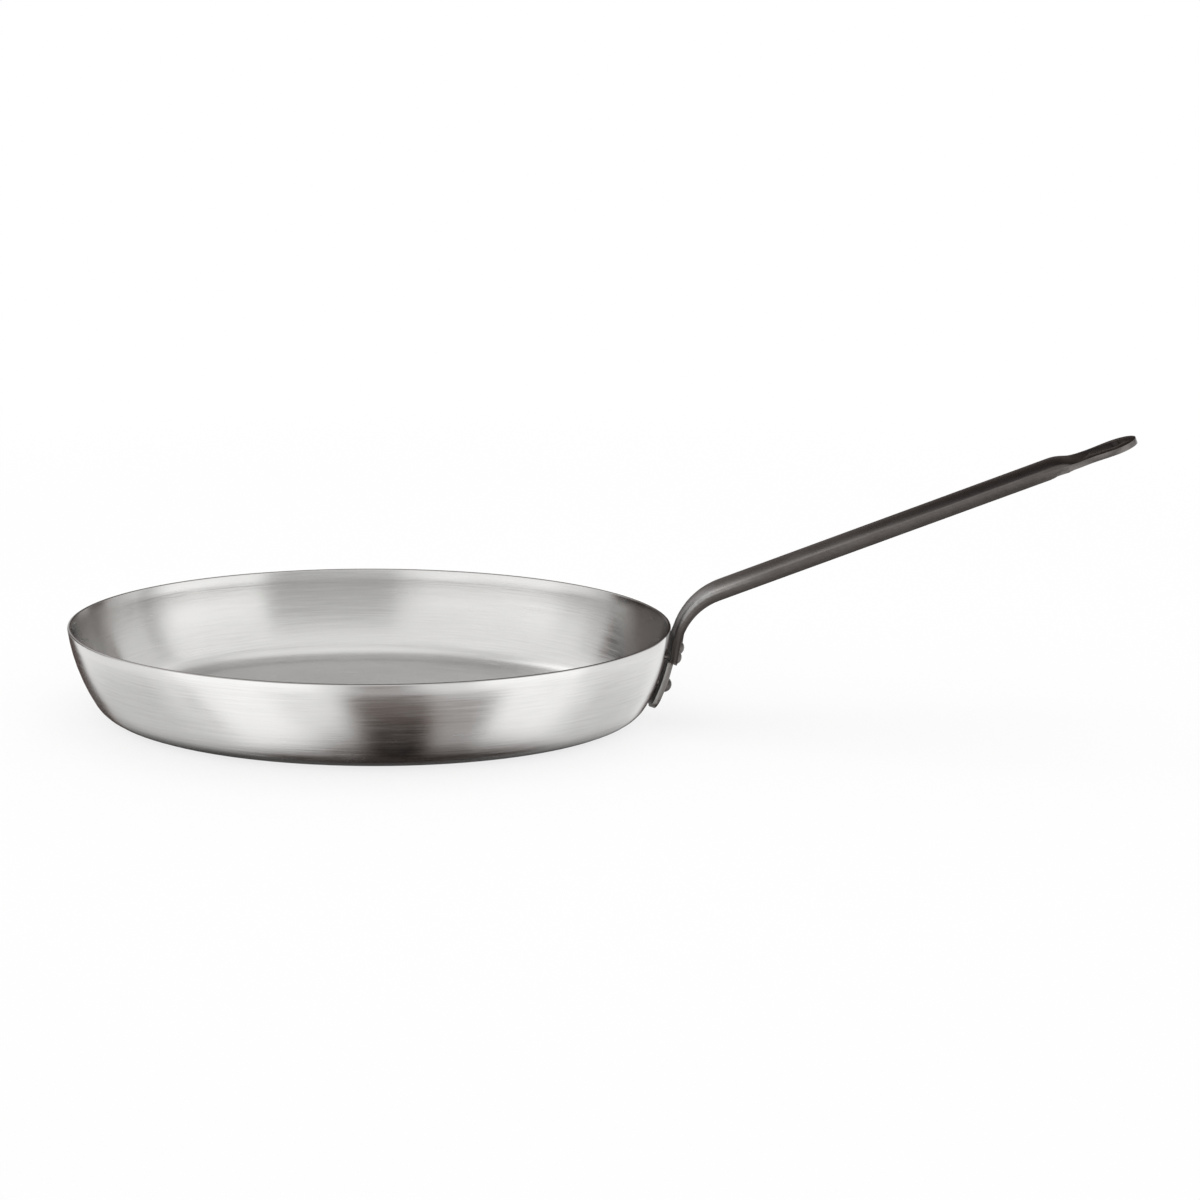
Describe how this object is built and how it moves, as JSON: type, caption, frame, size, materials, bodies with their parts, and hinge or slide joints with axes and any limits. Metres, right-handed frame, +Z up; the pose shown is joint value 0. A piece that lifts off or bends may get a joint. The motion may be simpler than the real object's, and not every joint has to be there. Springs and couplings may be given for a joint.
{
  "type": "oval frying pan",
  "caption": "Shallow oval steel frying pan with flared sides and a long, rising strip handle riveted to one end.",
  "frame": {"origin": "centre of the flat underside of the pan's base", "axes": "+Z up, +X along the oval's long axis towards the handle, +Y across the pan"},
  "size_m": [0.6205, 0.2598, 0.1751],
  "materials": {
    "pan_steel": "brushed round the wall",
    "handle_steel": "dark, low sheen",
    "rivet_steel": "dark, satin"
  },
  "bodies": {
    "root": {"pan_body": "pan_steel", "handle": "handle_steel", "rivet_upper_near": "rivet_steel", "rivet_upper_far": "rivet_steel", "rivet_lower": "rivet_steel"}
  },
  "joints": []
}
